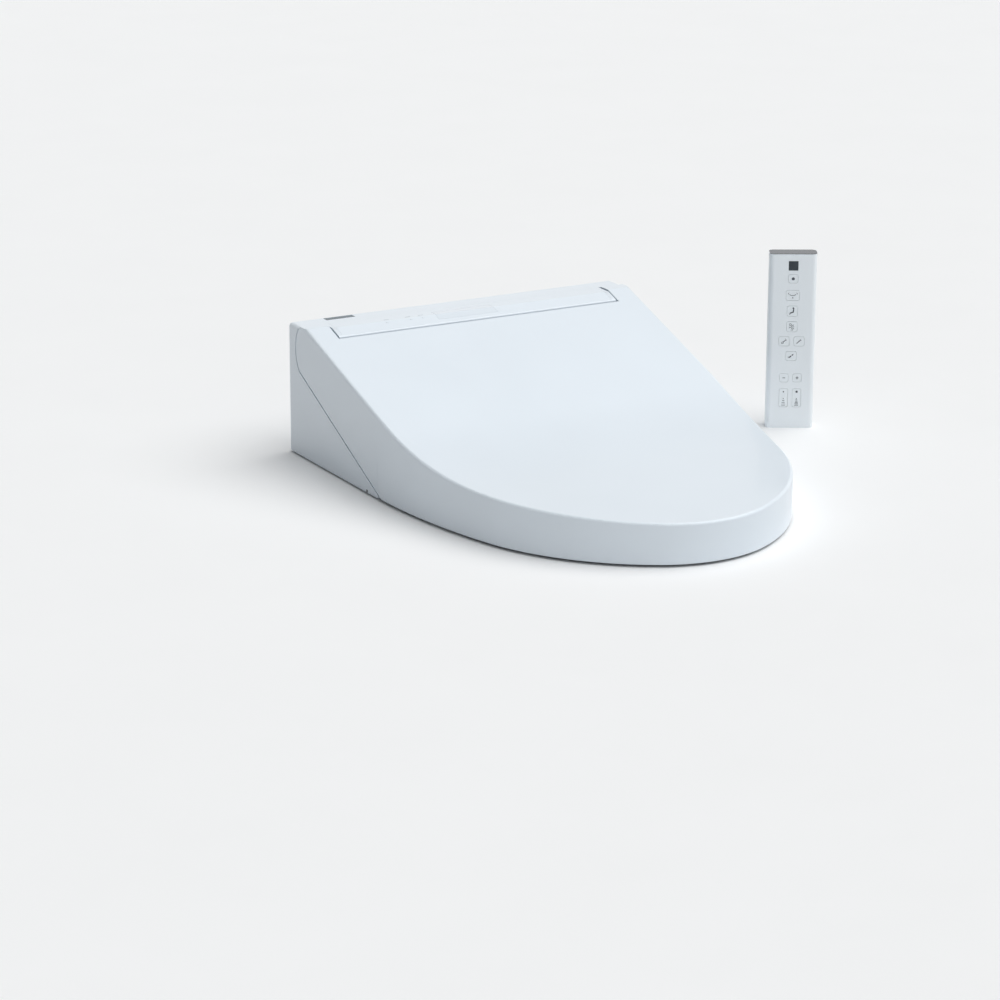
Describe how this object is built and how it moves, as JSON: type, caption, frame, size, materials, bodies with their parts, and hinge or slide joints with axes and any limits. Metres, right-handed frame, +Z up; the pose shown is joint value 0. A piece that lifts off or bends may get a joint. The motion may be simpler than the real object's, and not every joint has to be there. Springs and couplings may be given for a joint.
{
  "type": "electric bidet seat",
  "caption": "Electric bidet toilet seat with sloping one-piece lid, heated seat ring, wash wand, warm air dryer and a free-standing remote control.",
  "frame": {"origin": "midway between the two fixing holes, on the plane of the bowl's rim", "axes": "+Z up, -Y to the front of the seat, +X to the right of someone facing the front"},
  "size_m": [0.5359, 0.53, 0.19],
  "materials": {
    "white_gloss": "smooth moulded gloss",
    "seat_white": "smooth moulded gloss",
    "white_matte": "fine moulded texture",
    "key_white": "satin with printed marks",
    "dark_window": "dark tinted, smooth",
    "panel_window": "milky, smooth",
    "lens": "milky, smooth",
    "soft_pad": "soft grey",
    "steel": "turned",
    "bearing_plastic": "natural, smooth",
    "inlet_brass": "turned",
    "tank_plastic": "natural, moulded",
    "hose": "natural silicone",
    "circuit_board": "solder mask",
    "black_plastic": "moulded",
    "heater_foil": "rolled foil",
    "battery": "printed sleeve"
  },
  "bodies": {
    "main_unit": {"mounting_plate": "white_matte", "lower_case": "white_matte", "upper_case": "white_gloss", "top_panel": "white_gloss", "receiver_window": "panel_window", "indicator_lenses": "lens", "sensor_window": "dark_window", "bowl_feet": "soft_pad", "case_screws": "steel", "hinge_pins": "steel", "heater_tank": "tank_plastic", "inlet_valve": "bearing_plastic", "water_inlet": "inlet_brass", "flow_valve": "bearing_plastic", "water_hoses": "hose", "control_board": "circuit_board", "power_board": "circuit_board", "power_inlet": "black_plastic", "dryer_housing": "black_plastic", "dryer_motor": "steel", "dryer_grille": "white_matte", "deodorizer_housing": "black_plastic", "deodorizer_filter": "black_plastic", "nozzle_guide": "bearing_plastic", "nozzle_motor": "steel", "remote_front": "white_matte", "remote_back": "white_matte", "remote_end": "dark_window", "remote_window": "dark_window", "remote_board": "circuit_board", "batteries": "battery", "seat_damper": "black_plastic", "lid_damper": "black_plastic"},
    "seat": {"seat_ring": "seat_white", "seat_base": "white_matte", "seat_heater": "heater_foil", "seat_bumpers": "soft_pad", "seat_bushes": "bearing_plastic"},
    "lid": {"lid_shell": "white_gloss", "lid_bumpers": "soft_pad", "lid_bushes": "bearing_plastic"},
    "wand": {"wand": "bearing_plastic", "wand_tip": "bearing_plastic"},
    "pinion": {"nozzle_pinion": "bearing_plastic"},
    "dryer_fan": {"dryer_impeller": "black_plastic"},
    "deodorizer_fan": {"deodorizer_fan": "black_plastic"},
    "release_button": {"release_button": "white_matte"},
    "battery_cover": {"battery_cover": "white_matte"},
    "key_stop": {"key_stop": "key_white"},
    "key_oscillate": {"key_oscillate": "key_white"},
    "key_rear": {"key_rear": "key_white"},
    "key_dryer": {"key_dryer": "key_white"},
    "key_rear_soft": {"key_rear_soft": "key_white"},
    "key_front": {"key_front": "key_white"},
    "key_pulse": {"key_pulse": "key_white"},
    "key_minus": {"key_minus": "key_white"},
    "key_plus": {"key_plus": "key_white"},
    "key_pressure": {"key_pressure": "key_white"},
    "key_position": {"key_position": "key_white"}
  },
  "joints": [
    {"name": "seat_hinge", "type": "hinge", "parent": "main_unit", "child": "seat", "pos_m": [0, 0.012, 0.126], "axis": [-1, 0, 0], "range_deg": [0, 112]},
    {"name": "lid_hinge", "type": "hinge", "parent": "seat", "child": "lid", "pos_m": [0, 0.012, 0.126], "axis": [1, 0, 0], "range_deg": [-112, 0]},
    {"name": "wand_slide", "type": "slide", "parent": "main_unit", "child": "wand", "axis": [0, -0.866, -0.5], "range_m": [0, 0.095]},
    {"name": "pinion_turn", "type": "hinge", "parent": "main_unit", "child": "pinion", "pos_m": [0, -0.06116, 0.04347], "axis": [-1, 0, 0], "range_deg": [0, 606]},
    {"name": "dryer_fan_turn", "type": "hinge", "parent": "main_unit", "child": "dryer_fan", "pos_m": [0.075, -0.02, 0.048], "axis": [1, 0, 0], "continuous": true},
    {"name": "deodorizer_fan_turn", "type": "hinge", "parent": "main_unit", "child": "deodorizer_fan", "pos_m": [-0.084, -0.036, 0.0315], "axis": [0, 1, 0], "continuous": true},
    {"name": "release_press", "type": "slide", "parent": "main_unit", "child": "release_button", "axis": [-1, 0, 0], "range_m": [0, 0.005], "stiffness_N_per_m": 800},
    {"name": "battery_cover_tilt", "type": "hinge", "parent": "main_unit", "child": "battery_cover", "pos_m": [0.32236, -0.10213, 0.001], "axis": [-0.8746, 0.4848, 0], "range_deg": [0, 60]},
    {"name": "key_stop_press", "type": "slide", "parent": "main_unit", "child": "key_stop", "axis": [0.4848, 0.8746, 0], "range_m": [0, 0.0004], "stiffness_N_per_m": 3000},
    {"name": "key_oscillate_press", "type": "slide", "parent": "main_unit", "child": "key_oscillate", "axis": [0.4848, 0.8746, 0], "range_m": [0, 0.0004], "stiffness_N_per_m": 3000},
    {"name": "key_rear_press", "type": "slide", "parent": "main_unit", "child": "key_rear", "axis": [0.4848, 0.8746, 0], "range_m": [0, 0.0004], "stiffness_N_per_m": 3000},
    {"name": "key_dryer_press", "type": "slide", "parent": "main_unit", "child": "key_dryer", "axis": [0.4848, 0.8746, 0], "range_m": [0, 0.0004], "stiffness_N_per_m": 3000},
    {"name": "key_rear_soft_press", "type": "slide", "parent": "main_unit", "child": "key_rear_soft", "axis": [0.4848, 0.8746, 0], "range_m": [0, 0.0004], "stiffness_N_per_m": 3000},
    {"name": "key_front_press", "type": "slide", "parent": "main_unit", "child": "key_front", "axis": [0.4848, 0.8746, 0], "range_m": [0, 0.0004], "stiffness_N_per_m": 3000},
    {"name": "key_pulse_press", "type": "slide", "parent": "main_unit", "child": "key_pulse", "axis": [0.4848, 0.8746, 0], "range_m": [0, 0.0004], "stiffness_N_per_m": 3000},
    {"name": "key_minus_press", "type": "slide", "parent": "main_unit", "child": "key_minus", "axis": [0.4848, 0.8746, 0], "range_m": [0, 0.0004], "stiffness_N_per_m": 3000},
    {"name": "key_plus_press", "type": "slide", "parent": "main_unit", "child": "key_plus", "axis": [0.4848, 0.8746, 0], "range_m": [0, 0.0004], "stiffness_N_per_m": 3000},
    {"name": "key_pressure_press", "type": "slide", "parent": "main_unit", "child": "key_pressure", "axis": [0.4848, 0.8746, 0], "range_m": [0, 0.0004], "stiffness_N_per_m": 3000},
    {"name": "key_position_press", "type": "slide", "parent": "main_unit", "child": "key_position", "axis": [0.4848, 0.8746, 0], "range_m": [0, 0.0004], "stiffness_N_per_m": 3000}
  ],
  "couplings": [
    {"joint": "pinion_turn", "follows": "wand_slide", "rad_per_m": 111.11}
  ]
}
